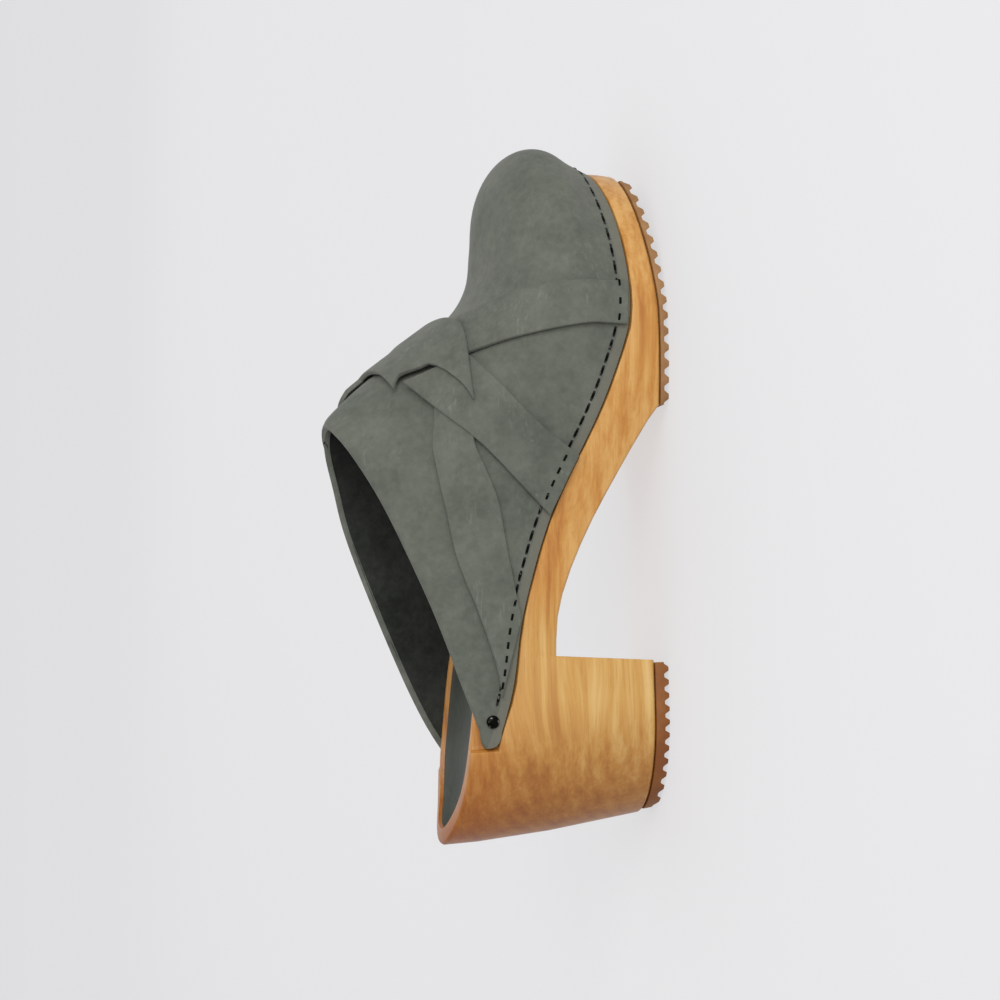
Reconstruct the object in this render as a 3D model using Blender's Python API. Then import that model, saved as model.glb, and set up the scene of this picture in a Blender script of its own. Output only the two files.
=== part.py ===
"""A heeled wooden clog for the right foot: a one-piece wooden sole with a block heel, ribbed rubber under
the forefoot and the heel, a leather insole, and a closed-toe leather upper with flat straps and a knot.

Metres, +Z up, +X towards the toe, +Y towards the inner side of the foot. The origin is on the floor, in the
middle of the heel's lift.
"""

import bmesh
import bpy
import math
from mathutils import Vector
from mathutils.bvhtree import BVHTree

# Overall sizes of the wooden sole
SOLE_LENGTH = 0.236
BALL_WIDTH = 0.086
RIM_HEIGHT = 0.0758
BREAST_HEIGHT = 0.0400
TOE_SPRING = 0.0052

# The heel, which narrows towards the floor
HEEL_LENGTH = 0.0634
HEEL_BACK_TAPER = 0.0094
HEEL_SIDE_TAPER = 0.0015
BREAST_RAKE = 0.0022

# The sunk footbed and its rim
RIM_WIDTH = 0.0036
RIM_ROUND = 0.0008
FOOTBED_DEPTH = 0.0030
FOOTBED_DISH = 0.0025

# Rubber under the sole
LIFT_THICKNESS = 0.0048
LIFT_RIB_PITCH = 0.0044
TREAD_THICKNESS = 0.0029
TREAD_RIB_PITCH = 0.0054
RIB_DEPTH = 0.0016
RIB_SHAPE = ((0.13, 0), (0.35, 1), (0.65, 1), (0.87, 0))
TREAD_START = 0.628
TREAD_END = 0.985
EDGE_ROUND = 0.0008
RUBBER_INSET = 0.0010

# Leather
INSOLE_THICKNESS = 0.0016
UPPER_WALL = 0.0020
UPPER_HEIGHT = 0.1147
CROWN_HEIGHT = 0.0585
STRAP_THICKNESS = 0.0018
STRAP_GAP = 0.0006
NAIL_RADIUS = 0.0024
NAIL_HEIGHT = 0.0010

# Room between touching pieces
CLEARANCE = 0.0003

# Outline of the sole: share of the length, middle line and half width, both as shares of the ball's half width
OUTLINE = (
    # length, middle, half_width
    (0.00, 0.000, 0.682),
    (0.17, -0.008, 0.682),
    (0.30, -0.035, 0.663),
    (0.40, -0.075, 0.645),
    (0.50, -0.093, 0.698),
    (0.60, -0.055, 0.830),
    (0.68, -0.012, 0.950),
    (0.75, 0.020, 1.000),
    (0.82, 0.050, 1.000),
    (0.90, 0.085, 1.000),
    (1.00, 0.100, 1.000),
)
HEEL_ROUND_END = 0.17
TOE_ROUND_START = 0.75
SIDE_EDGE = 0.55

# Height of the wood's top edge and of the leather's lower edge, as shares of the rim's height at the back
RIM_PROFILE = (
    # length, height
    (0.00, 1.000),
    (0.06, 0.955),
    (0.15, 0.922),
    (0.29, 0.870),
    (0.38, 0.793),
    (0.465, 0.705),
    (0.52, 0.632),
    (0.583, 0.527),
    (0.634, 0.445),
    (0.693, 0.372),
    (0.742, 0.323),
    (0.805, 0.305),
    (0.905, 0.310),
    (1.00, 0.339),
)
LEATHER_EDGE = (
    # length, height
    (0.00, 0.845),
    (0.135, 0.812),
    (0.218, 0.732),
    (0.312, 0.691),
    (0.394, 0.624),
    (0.465, 0.555),
    (0.52, 0.482),
    (0.583, 0.380),
    (0.634, 0.307),
    (0.693, 0.240),
    (0.742, 0.189),
    (0.805, 0.176),
    (0.905, 0.197),
    (1.00, 0.248),
)

# Underside of the waist, as shares of the breast's height, and where and how the toe rises from the floor
WAIST_PROFILE = (
    # length, height
    (0.25, 1.000),
    (0.34, 0.955),
    (0.44, 0.730),
    (0.547, 0.386),
    (0.628, 0.097),
)
SPRING_START = 0.775
SPRING_POWER = 1.25

# The collar from the outer end over the throat to the inner end: share of the run, then length as a share of
# the sole's, side as a share of the ball's half width, height as a share of the upper's, and the slope there
COLLAR = (
    # run, length, side, height, slope_deg
    (0.00, 0.138, -0.690, 0.568, 88),
    (0.12, 0.180, -0.672, 0.606, 86),
    (0.36, 0.313, -0.640, 0.695, 80),
    (0.58, 0.424, -0.570, 0.789, 70),
    (0.80, 0.520, -0.450, 0.880, 46),
    (0.92, 0.602, -0.250, 0.972, 10),
    (1.00, 0.625, 0.060, 0.998, -16),
    (1.08, 0.600, 0.330, 0.977, 10),
    (1.21, 0.532, 0.478, 0.938, 46),
    (1.42, 0.453, 0.570, 0.894, 68),
    (1.66, 0.292, 0.651, 0.762, 80),
    (1.86, 0.180, 0.686, 0.657, 86),
    (2.00, 0.114, 0.690, 0.572, 88),
)

# The crest from the throat to the toe's crown: share of the run, height as a share of the way down from the
# throat to the crown, and side as a share of the ball's half width
CREST = (
    # run, drop, side
    (0.00, 0.000, 0.080),
    (0.20, 0.265, 0.085),
    (0.40, 0.600, 0.090),
    (0.55, 0.835, 0.090),
    (0.70, 0.955, 0.090),
    (0.85, 0.990, 0.090),
    (1.00, 1.000, 0.090),
)
THROAT_LENGTH = 0.625
CROWN_LENGTH = 0.908
THROAT_TURN = 0.667
NAIL_TURN = 0.972
NAIL_UP = 0.45

# Shares of the length: where the rabbet starts behind the leather's end, and the stations around that end
RABBET_LEAD = 0.004
END_STATIONS = (-0.007, -0.0035, 0.012, 0.030, 0.055)
STATION_SPACING = 0.006

# How full each section of the upper is, by the place of its foot along the sole: the pull of its curve outwards,
# upwards and away from its top, and how far the wall beside the wood swells out, in shares of the ball's half width
FULLNESS = (
    # length, bulge, rise, top, swell
    (0.10, 0.00, 0.35, 0.35, 0.000),
    (0.40, 0.03, 0.33, 0.38, 0.000),
    (0.57, 0.07, 0.30, 0.44, 0.000),
    (0.70, 0.18, 0.28, 0.52, 0.000),
    (0.82, 0.30, 0.30, 0.62, 0.006),
    (0.93, 0.42, 0.31, 0.92, 0.022),
    (1.00, 0.41, 0.30, 1.24, 0.062),
)

# Straps on the upper. Each row gives the place of the strap's two edges on the upper: the turn around the sole,
# from -1 at the outer end over 0 at the toe, and the way up the section, 1 on the crest and more beyond it.
# The lift is 0 where the strap lies on the upper and 1 where it lies over another strap.
STRAP_BALL = (
    # run, rear_turn, rear_up, front_turn, front_up, lift
    (0.00, -0.505, 0.010, -0.434, 0.010, 0),
    (0.25, -0.503, 0.150, -0.440, 0.190, 0),
    (0.50, -0.515, 0.330, -0.447, 0.370, 0),
    (0.75, -0.529, 0.470, -0.452, 0.560, 0),
    (1.00, -0.550, 0.600, -0.470, 0.735, 0),
)
STRAP_WAIST = (
    # run, rear_turn, rear_up, front_turn, front_up, lift
    (0.00, -0.748, 0.012, -0.668, 0.012, 0),
    (0.18, -0.729, 0.125, -0.652, 0.120, 1),
    (0.36, -0.700, 0.235, -0.628, 0.205, 1),
    (0.54, -0.668, 0.335, -0.605, 0.300, 1),
    (0.70, -0.640, 0.460, -0.598, 0.370, 1),
    (0.85, -0.618, 0.570, -0.601, 0.405, 1),
    (1.00, -0.599, 0.670, -0.607, 0.425, 1),
)
STRAP_COLLAR = (
    # run, rear_turn, rear_up, front_turn, front_up, lift
    (0.00, -0.948, 0.240, -0.862, 0.020, 0),
    (0.18, -0.905, 0.360, -0.838, 0.110, 0),
    (0.36, -0.860, 0.470, -0.805, 0.195, 0),
    (0.54, -0.805, 0.585, -0.765, 0.270, 0),
    (0.72, -0.732, 0.585, -0.713, 0.325, 0),
    (0.86, -0.667, 0.515, -0.668, 0.370, 0),
    (1.00, -0.606, 0.580, -0.618, 0.430, 0),
)
STRAP_INNER = (
    # run, rear_turn, rear_up, front_turn, front_up, lift
    (0.00, 0.830, 0.012, 0.760, 0.012, 0),
    (0.25, 0.795, 0.240, 0.715, 0.220, 0),
    (0.50, 0.745, 0.500, 0.655, 0.450, 0),
    (0.75, 0.668, 0.780, 0.600, 0.700, 0),
    (1.00, 0.600, 0.985, 0.530, 0.960, 0),
)
KNOT_BAND = (
    # run, rear_turn, rear_up, front_turn, front_up, lift
    (0.00, -0.500, 1.100, -0.440, 1.120, 1),
    (0.20, -0.502, 0.980, -0.448, 0.940, 1),
    (0.40, -0.515, 0.870, -0.466, 0.800, 1),
    (0.60, -0.543, 0.755, -0.490, 0.690, 1),
    (0.80, -0.564, 0.650, -0.542, 0.575, 1),
    (1.00, -0.592, 0.510, -0.592, 0.475, 1),
)
KNOT_LOOP = (
    # run, rear_turn, rear_up, front_turn, front_up, lift
    (0.00, -0.582, 1.100, -0.514, 1.100, 1),
    (0.30, -0.582, 1.000, -0.514, 1.000, 1),
    (0.55, -0.576, 0.900, -0.528, 0.890, 1),
    (0.80, -0.582, 0.810, -0.555, 0.785, 1),
    (1.00, -0.596, 0.750, -0.580, 0.742, 1),
)

HALF_BALL = BALL_WIDTH / 2
ORIGIN_X = (HEEL_BACK_TAPER + HEEL_LENGTH - BREAST_RAKE) / 2
STATIONS = 44
BED_STEPS = 6
UPPER_COLUMNS = 60
UPPER_ROWS = 13
SECTION_STEPS = 40
WALL_STEPS = 8
PLACE_STEPS = 60
OUTER, INNER = -1, 1


def curve(table, column, at):
    """Value of one column of a table, by a smooth curve through its rows."""
    rows = len(table)
    at = min(max(at, table[0][0]), table[-1][0])
    k = 0
    while k < rows - 2 and at > table[k + 1][0]:
        k += 1

    def slope(i):
        low = max(i - 1, 0)
        high = min(i + 1, rows - 1)
        return (table[high][column] - table[low][column]) / (table[high][0] - table[low][0])

    x0, x1 = table[k][0], table[k + 1][0]
    y0, y1 = table[k][column], table[k + 1][column]
    step = x1 - x0
    t = (at - x0) / step
    rise = (2 * t**3 - 3 * t**2 + 1) * y0 + (3 * t**2 - 2 * t**3) * y1
    return rise + step * ((t**3 - 2 * t**2 + t) * slope(k) + (t**3 - t**2) * slope(k + 1))


def half_width(share):
    """Half width of the sole: the table's, closed by half an ellipse at the heel and at the toe."""
    width = HALF_BALL * curve(OUTLINE, 2, share)
    if share < HEEL_ROUND_END:
        width *= math.sqrt(max(0.0, 1 - (1 - share / HEEL_ROUND_END) ** 2))
    if share > TOE_ROUND_START:
        width *= math.sqrt(max(0.0, 1 - ((share - TOE_ROUND_START) / (1 - TOE_ROUND_START)) ** 2))
    return width


def edge(share, side, inset=0.0):
    """Point of the sole's outline seen from above, moved inwards by the inset."""
    nudge = 1e-4
    share = min(max(share, 0.0), 1.0)

    def at(s):
        return Vector((s * SOLE_LENGTH, HALF_BALL * curve(OUTLINE, 1, s) + side * half_width(s)))

    if share < nudge:
        normal = Vector((-1, 0))
    elif share > 1 - nudge:
        normal = Vector((1, 0))
    else:
        along = at(min(share + nudge, 1.0)) - at(max(share - nudge, 0.0))
        normal = Vector((-along.y, along.x)).normalized() * side
    return at(share) - normal * inset


def rim_height(share):
    return RIM_HEIGHT * curve(RIM_PROFILE, 1, share)


def leather_height(share):
    return RIM_HEIGHT * curve(LEATHER_EDGE, 1, share)


def spring(share):
    return TOE_SPRING * max(0.0, (share - SPRING_START) / (1 - SPRING_START)) ** SPRING_POWER


def wood_underside(share):
    """Lowest height of the wood, which the lift and the tread carry."""
    if share < HEEL_LENGTH / SOLE_LENGTH:
        return LIFT_THICKNESS + CLEARANCE
    if share < TREAD_START:
        return BREAST_HEIGHT * curve(WAIST_PROFILE, 1, share)
    return TREAD_THICKNESS + CLEARANCE + spring(share)


def heel_shape(point, share, height):
    """Moves a point of the heel's column for the taper of its back and sides."""
    heel_share = HEEL_LENGTH / SOLE_LENGTH
    if share > heel_share:
        return point
    down = max(0.0, 1 - height / RIM_HEIGHT)
    back = HEEL_BACK_TAPER * down**1.4 * (1 - share / heel_share)
    narrow = HEEL_SIDE_TAPER * max(0.0, 1 - height / BREAST_HEIGHT) / (HALF_BALL * OUTLINE[0][2])
    middle = HALF_BALL * curve(OUTLINE, 1, share)
    return Vector((point.x + back, middle + (point.y - middle) * (1 - narrow)))


def leather_end(side):
    """Share of the length where the upper ends on this side."""
    return COLLAR[0][1] if side == OUTER else COLLAR[-1][1]


def new_object(name, bm, colour, roughness, metallic=0.0):
    """Puts the mesh into the scene with its own material, with its faces out and its round sides smooth."""
    bmesh.ops.remove_doubles(bm, verts=bm.verts, dist=1e-6)
    bmesh.ops.recalc_face_normals(bm, faces=bm.faces)
    for vertex in bm.verts:
        vertex.co.x -= ORIGIN_X
    mesh = bpy.data.meshes.new(name)
    bm.to_mesh(mesh)
    bm.free()
    mesh.shade_smooth()
    mesh.set_sharp_from_angle(angle=math.radians(40))
    material = bpy.data.materials.new(name)
    material.use_nodes = True
    shader = material.node_tree.nodes["Principled BSDF"]
    shader.inputs["Base Color"].default_value = (*colour, 1)
    shader.inputs["Roughness"].default_value = roughness
    shader.inputs["Metallic"].default_value = metallic
    mesh.materials.append(material)
    made = bpy.data.objects.new(name, mesh)
    bpy.context.scene.collection.objects.link(made)
    return made


def stacked_loops(bm, loops):
    """Bridges closed loops of equal length, one on the next, and returns their vertices."""
    rings = [[bm.verts.new(point) for point in loop] for loop in loops]
    for low, high in zip(rings, rings[1:]):
        count = len(low)
        for i in range(count):
            bm.faces.new((low[i], low[(i + 1) % count], high[(i + 1) % count], high[i]))
    return rings


def ladder(bm, ring, rows, between):
    """Fills a loop, whose first half runs along one side and whose second half runs back, with rungs across."""
    half = len(ring) // 2
    previous = None
    for i in range(1, half):
        left, right = ring[i], ring[-i]
        rung = [left]
        for k in range(1, rows):
            rung.append(bm.verts.new(between(i, left.co, right.co, k / rows)))
        rung.append(right)
        if previous is None:
            for k in range(rows):
                bm.faces.new((ring[0], rung[k], rung[k + 1]))
        else:
            for k in range(rows):
                bm.faces.new((previous[k], rung[k], rung[k + 1], previous[k + 1]))
        previous = rung
    for k in range(rows):
        bm.faces.new((previous[k], ring[half], previous[k + 1]))


def sole_stations():
    """Shares of the length, closer together at the round ends, at the breast and where the upper ends."""
    heel_share = HEEL_LENGTH / SOLE_LENGTH
    shares = [(1 - math.cos(math.pi * i / STATIONS)) / 2 for i in range(STATIONS + 1)]
    marks = [heel_share - BREAST_RAKE / SOLE_LENGTH, heel_share + 1e-6, TREAD_START]
    for side in (OUTER, INNER):
        marks += [leather_end(side) + step for step in END_STATIONS]
    kept = [s for s in shares if all(abs(s - mark) > STATION_SPACING for mark in marks)]
    return sorted(kept + marks)


def sole_loop(stations, inset, height):
    """One loop around the sole: outer side from the heel to the toe, then the inner side back."""
    half = len(stations) - 1
    points = []
    for i in range(2 * half):
        side = OUTER if i <= half else INNER
        share = stations[i] if i <= half else stations[2 * half - i]
        z = height(share, side)
        flat = heel_shape(edge(share, side, inset(share, side)), share, z)
        points.append(Vector((flat.x, flat.y, z)))
    return points


def build_wood_sole():
    stations = sole_stations()

    def rabbet(share, side):
        return UPPER_WALL + 2 * CLEARANCE if share > leather_end(side) - RABBET_LEAD else 0.0

    def mid_height(share, side):
        return (1 - SIDE_EDGE) * wood_underside(share) + SIDE_EDGE * leather_height(share)

    def bed(i, left, right, across):
        share = stations[i]
        sink = FOOTBED_DISH * (1 - (2 * across - 1) ** 2)
        point = left.lerp(right, across)
        return Vector((point.x, point.y, rim_height(share) - FOOTBED_DEPTH - sink))

    loops = [
        sole_loop(stations, lambda s, side: 2.2 * EDGE_ROUND, lambda s, side: wood_underside(s)),
        sole_loop(stations, lambda s, side: EDGE_ROUND, lambda s, side: wood_underside(s) + EDGE_ROUND),
        sole_loop(stations, lambda s, side: EDGE_ROUND / 4, mid_height),
        sole_loop(stations, lambda s, side: 0.0, lambda s, side: leather_height(s) - 3 * CLEARANCE),
        sole_loop(stations, rabbet, lambda s, side: leather_height(s) - 2 * CLEARANCE),
        sole_loop(stations, rabbet, lambda s, side: rim_height(s) - RIM_ROUND),
        sole_loop(stations, lambda s, side: rabbet(s, side) + RIM_ROUND, lambda s, side: rim_height(s)),
        sole_loop(stations, lambda s, side: UPPER_WALL + RIM_WIDTH, lambda s, side: rim_height(s)),
        sole_loop(
            stations,
            lambda s, side: UPPER_WALL + RIM_WIDTH + CLEARANCE,
            lambda s, side: rim_height(s) - FOOTBED_DEPTH,
        ),
    ]
    bm = bmesh.new()
    rings = stacked_loops(bm, loops)
    ladder(bm, rings[-1], BED_STEPS, bed)
    ladder(bm, rings[0], 2, lambda i, left, right, across: left.lerp(right, across))
    return new_object("wood_sole", bm, (0.68, 0.42, 0.19), 0.42)


def build_insole():
    stations = sole_stations()
    inset = UPPER_WALL + RIM_WIDTH + 2 * CLEARANCE

    def lower(share, side):
        return rim_height(share) - FOOTBED_DEPTH + CLEARANCE

    def upper(share, side):
        return lower(share, side) + INSOLE_THICKNESS

    def bed(lift):
        def between(i, left, right, across):
            sink = FOOTBED_DISH * (1 - (2 * across - 1) ** 2)
            point = left.lerp(right, across)
            return Vector((point.x, point.y, lift(stations[i], OUTER) - sink))
        return between

    bm = bmesh.new()
    loops = [sole_loop(stations, lambda s, side: inset, height) for height in (lower, upper)]
    rings = stacked_loops(bm, loops)
    ladder(bm, rings[0], BED_STEPS, bed(lower))
    ladder(bm, rings[1], BED_STEPS, bed(upper))
    return new_object("insole", bm, (0.075, 0.095, 0.085), 0.75)


def ribbed_sheet(start, end, ribs, thickness, base, shaped):
    """A rubber sheet under the sole with ribs across it, an odd number so that one is in the middle."""
    count = 2 * max(1, round((ribs - 1) / 2)) + 1
    step = (end - start) / count
    profile = [(start, 0)]
    for k in range(count):
        for share, down in RIB_SHAPE:
            profile.append((start + (k + share) * step, down))
    profile.append((end, 0))
    bm = bmesh.new()
    sections = []
    for share, down in profile:
        top = base(share) + thickness
        low = base(share) + (0.0 if down else RIB_DEPTH)
        corners = []
        for side, z in ((OUTER, low), (INNER, low), (INNER, top), (OUTER, top)):
            flat = shaped(edge(share, side, RUBBER_INSET), share, z)
            corners.append(bm.verts.new((flat.x, flat.y, z)))
        sections.append(corners)
    for first, second in zip(sections, sections[1:]):
        for k in range(4):
            bm.faces.new((first[k], first[(k + 1) % 4], second[(k + 1) % 4], second[k]))
    bm.faces.new(sections[0])
    bm.faces.new(sections[-1])
    return bm


def build_heel_lift():
    start = RUBBER_INSET / SOLE_LENGTH
    end = (HEEL_LENGTH - BREAST_RAKE - RUBBER_INSET) / SOLE_LENGTH
    ribs = (HEEL_LENGTH - BREAST_RAKE - HEEL_BACK_TAPER - 2 * RUBBER_INSET) / LIFT_RIB_PITCH
    bm = ribbed_sheet(start, end, ribs, LIFT_THICKNESS, lambda s: 0.0, heel_shape)
    return new_object("heel_lift", bm, (0.25, 0.11, 0.045), 0.7)


def build_forefoot_tread():
    ribs = (TREAD_END - TREAD_START) * SOLE_LENGTH / TREAD_RIB_PITCH
    bm = ribbed_sheet(
        TREAD_START, TREAD_END, ribs, TREAD_THICKNESS, spring, lambda flat, share, z: flat
    )
    return new_object("forefoot_tread", bm, (0.42, 0.22, 0.09), 0.7)


def foot_of_upper(turn):
    """Share of the length, side and outline point where the upper's section stands on the wood."""
    side = OUTER if turn < 0 else INNER
    end = leather_end(side)
    share = 1 - (1 - end) * (1 - math.cos(math.pi / 2 * abs(turn)))
    return share, side


def crest_point(run):
    along = THROAT_LENGTH + (CROWN_LENGTH - THROAT_LENGTH) * math.sin(math.pi / 2 * run)
    slope_run = (along - THROAT_LENGTH) / (CROWN_LENGTH - THROAT_LENGTH)
    height = UPPER_HEIGHT - (UPPER_HEIGHT - CROWN_HEIGHT) * curve(CREST, 1, slope_run)
    return Vector((along * SOLE_LENGTH, HALF_BALL * curve(CREST, 2, slope_run), height)), slope_run


def top_of_section(turn, foot):
    """The section's upper end, on the collar or the crest, and the way the leather leaves it downwards."""
    if abs(turn) >= THROAT_TURN:
        run = (1 - abs(turn)) / (1 - THROAT_TURN)
        run = run if turn < 0 else 2 - run
        top = Vector((
            SOLE_LENGTH * curve(COLLAR, 1, run),
            HALF_BALL * curve(COLLAR, 2, run),
            UPPER_HEIGHT * curve(COLLAR, 3, run),
        ))
        slope = math.radians(curve(COLLAR, 4, run))
        flat = Vector((foot.x - top.x, foot.y - top.y, 0)).normalized()
        return top, flat * math.cos(slope) + Vector((0, 0, -math.sin(slope)))
    top, run = crest_point(1 - abs(turn) / THROAT_TURN)
    nudge = 0.01
    ahead, behind = min(run + nudge, 1.0), max(run - nudge, 0.0)
    fall = curve(CREST, 1, ahead) - curve(CREST, 1, behind)
    length = (ahead - behind) * (CROWN_LENGTH - THROAT_LENGTH) * SOLE_LENGTH
    slope = -(UPPER_HEIGHT - CROWN_HEIGHT) * fall / length
    flat = Vector((foot.x - top.x, foot.y - top.y, 0)).normalized()
    return top, Vector((flat.x, flat.y, flat.x * slope)).normalized()


def upper_section(turn):
    """Outer face of the upper at one turn around the sole, as points from its lower edge to its top."""
    share, side = foot_of_upper(turn)
    flat = edge(share, side, -CLEARANCE)
    low = leather_height(share)
    rim = rim_height(share)
    outward = edge(share, side, -1.0) - edge(share, side, 0.0)
    swell = HALF_BALL * curve(FULLNESS, 4, share)
    foot = Vector((flat.x + outward.x * swell, flat.y + outward.y * swell, rim))
    top, leaving = top_of_section(turn, foot)
    if top.z < rim + UPPER_WALL:
        steps = [k / SECTION_STEPS for k in range(SECTION_STEPS + 1)]
        return [Vector((flat.x, flat.y, low + (top.z - low) * t)) for t in steps]
    height = top.z - rim
    reach = (Vector((top.x, top.y)) - flat).length
    bulge = curve(FULLNESS, 1, share) * height
    rise = curve(FULLNESS, 2, share) * height
    steep = max(0.0, -leaving.z)
    span = curve(FULLNESS, 3, share) * (reach * math.sqrt(1 - steep**2) + height * steep)
    first = foot + Vector((outward.x * bulge, outward.y * bulge, rise))
    second = top + leaving * span
    points = []
    for k in range(WALL_STEPS):
        t = k / WALL_STEPS
        out = swell * t * (2 - t)
        points.append(Vector((flat.x + outward.x * out, flat.y + outward.y * out, low + (rim - low) * t)))
    for k in range(SECTION_STEPS + 1):
        t = k / SECTION_STEPS
        points.append(
            foot * (1 - t) ** 3 + first * 3 * t * (1 - t) ** 2 + second * 3 * t**2 * (1 - t) + top * t**3
        )
    return points


def resampled(points, count):
    """Points at equal steps along a polyline."""
    lengths = [0.0]
    for a, b in zip(points, points[1:]):
        lengths.append(lengths[-1] + (b - a).length)
    result = []
    k = 0
    for i in range(count + 1):
        at = lengths[-1] * i / count
        while k < len(points) - 2 and lengths[k + 1] < at:
            k += 1
        step = lengths[k + 1] - lengths[k]
        result.append(points[k].lerp(points[k + 1], (at - lengths[k]) / step if step else 0.0))
    return result


def upper_grid(columns, rows):
    """Outer face of the upper: columns of points from the outer end around the toe to the inner end."""
    return [resampled(upper_section(-1 + 2 * j / columns), rows) for j in range(columns + 1)]


def on_crest(turn):
    return abs(turn) < THROAT_TURN - 1e-9


def grid_normals(grid, columns):
    """Outward directions of the grid's points, the same on both sides where the crest joins them."""
    rows = len(grid[0]) - 1
    normals = []
    for j, column in enumerate(grid):
        mirror = grid[columns - j]
        line = []
        for i in range(rows + 1):
            along = grid[min(j + 1, columns)][i] - grid[max(j - 1, 0)][i]
            if i < rows:
                up = column[i + 1] - column[max(i - 1, 0)]
            elif on_crest(-1 + 2 * j / columns):
                up = mirror[rows - 1] - column[rows - 1]
            else:
                up = column[rows] - column[rows - 1]
            normal = along.cross(up)
            if column[i].z < rim_height(foot_of_upper(-1 + 2 * j / columns)[0]):
                normal.z = 0
            line.append(normal.normalized())
        normals.append(line)
    for j in range(columns // 2):
        turn = -1 + 2 * j / columns
        if on_crest(turn):
            both = (normals[j][rows] + normals[columns - j][rows]).normalized()
            normals[j][rows] = both
            normals[columns - j][rows] = both
    return normals


def split(a, b, c, d):
    """The two triangles of a bent square, cut along the diagonal that lies further out."""
    normal = (b - a).cross(d - a)
    if (a + c - b - d).dot(normal) > 0:
        return (0, 1, 2), (0, 2, 3)
    return (0, 1, 3), (1, 2, 3)


def build_upper():
    columns, rows = UPPER_COLUMNS, UPPER_ROWS
    grid = upper_grid(columns, rows)
    normals = grid_normals(grid, columns)
    bm = bmesh.new()
    outer = [[bm.verts.new(point) for point in column] for column in grid]
    inner = []
    for column, line in zip(grid, normals):
        inner.append([bm.verts.new(point - normal * UPPER_WALL) for point, normal in zip(column, line)])
    for j in range(columns):
        for i in range(rows):
            corners = ((j, i), (j + 1, i), (j + 1, i + 1), (j, i + 1))
            for triangle in split(*(grid[a][b] for a, b in corners)):
                bm.faces.new([outer[corners[k][0]][corners[k][1]] for k in triangle])
                bm.faces.new([inner[corners[k][0]][corners[k][1]] for k in reversed(triangle)])
        bm.faces.new((outer[j][0], inner[j][0], inner[j + 1][0], outer[j + 1][0]))
        turn = -1 + 2 * (j + 0.5) / columns
        if abs(turn) > THROAT_TURN:
            bm.faces.new((outer[j][rows], outer[j + 1][rows], inner[j + 1][rows], inner[j][rows]))
    for j in (0, columns):
        for i in range(rows):
            bm.faces.new((outer[j][i], outer[j][i + 1], inner[j][i + 1], inner[j][i]))
    return new_object("upper", bm, (0.115, 0.135, 0.12), 0.8)


def leather_surface():
    """The upper's outer face, which the straps and the nails lie on."""
    columns, rows = UPPER_COLUMNS, UPPER_ROWS
    grid = upper_grid(columns, rows)
    points = [point for column in grid for point in column]
    faces = []
    for j in range(columns):
        for i in range(rows):
            first = j * (rows + 1) + i
            corners = (first, first + rows + 1, first + rows + 2, first + 1)
            for triangle in split(*(points[k] for k in corners)):
                faces.append([corners[k] for k in triangle])
    return BVHTree.FromPolygons(points, faces)


def place_on_upper(turn, up):
    """Point of the upper's outer face at a turn and a way up, which may go on over the crest."""
    if up > 1:
        turn, up = -turn, 2 - up
    points = resampled(upper_section(turn), PLACE_STEPS)
    at = max(0.0, min(1.0, up)) * PLACE_STEPS
    k = min(int(at), PLACE_STEPS - 1)
    return points[k].lerp(points[k + 1], at - k)


def build_strap(name, table, surface, length_steps=20, width_steps=5):
    """A flat strap laid on the upper between its two edges, with its ends cut along the first and last row."""
    base, raised = [], []
    grid = []
    for k in range(length_steps + 1):
        run = k / length_steps
        rear = place_on_upper(curve(table, 1, run), curve(table, 2, run))
        front = place_on_upper(curve(table, 3, run), curve(table, 4, run))
        row = []
        for j in range(width_steps + 1):
            row.append(surface.find_nearest(rear.lerp(front, j / width_steps))[0])
        grid.append(row)
    for k, row in enumerate(grid):
        lift = min(1.0, max(0.0, curve(table, 5, k / length_steps)))
        gap = STRAP_GAP + lift * (STRAP_THICKNESS + 1.5 * CLEARANCE)
        low, high = [], []
        for j, point in enumerate(row):
            along = grid[min(k + 1, length_steps)][j] - grid[max(k - 1, 0)][j]
            across = row[min(j + 1, width_steps)] - row[max(j - 1, 0)]
            normal = along.cross(across).normalized()
            outward = surface.find_nearest(point)[1]
            if normal.dot(outward) < 0:
                normal = -normal
            low.append(point + normal * gap)
            high.append(point + normal * (gap + STRAP_THICKNESS))
        base.append(low)
        raised.append(high)
    bm = bmesh.new()
    loops = []
    for low, high in zip(base, raised):
        loops.append([bm.verts.new(point) for point in low + high[::-1]])
    for first, second in zip(loops, loops[1:]):
        count = len(first)
        for j in range(count):
            bm.faces.new((first[j], first[(j + 1) % count], second[(j + 1) % count], second[j]))
    for loop in (loops[0], loops[-1]):
        for j in range(width_steps):
            bm.faces.new((loop[j], loop[j + 1], loop[-2 - j], loop[-1 - j]))
    return new_object(name, bm, (0.12, 0.14, 0.125), 0.8)


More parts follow.
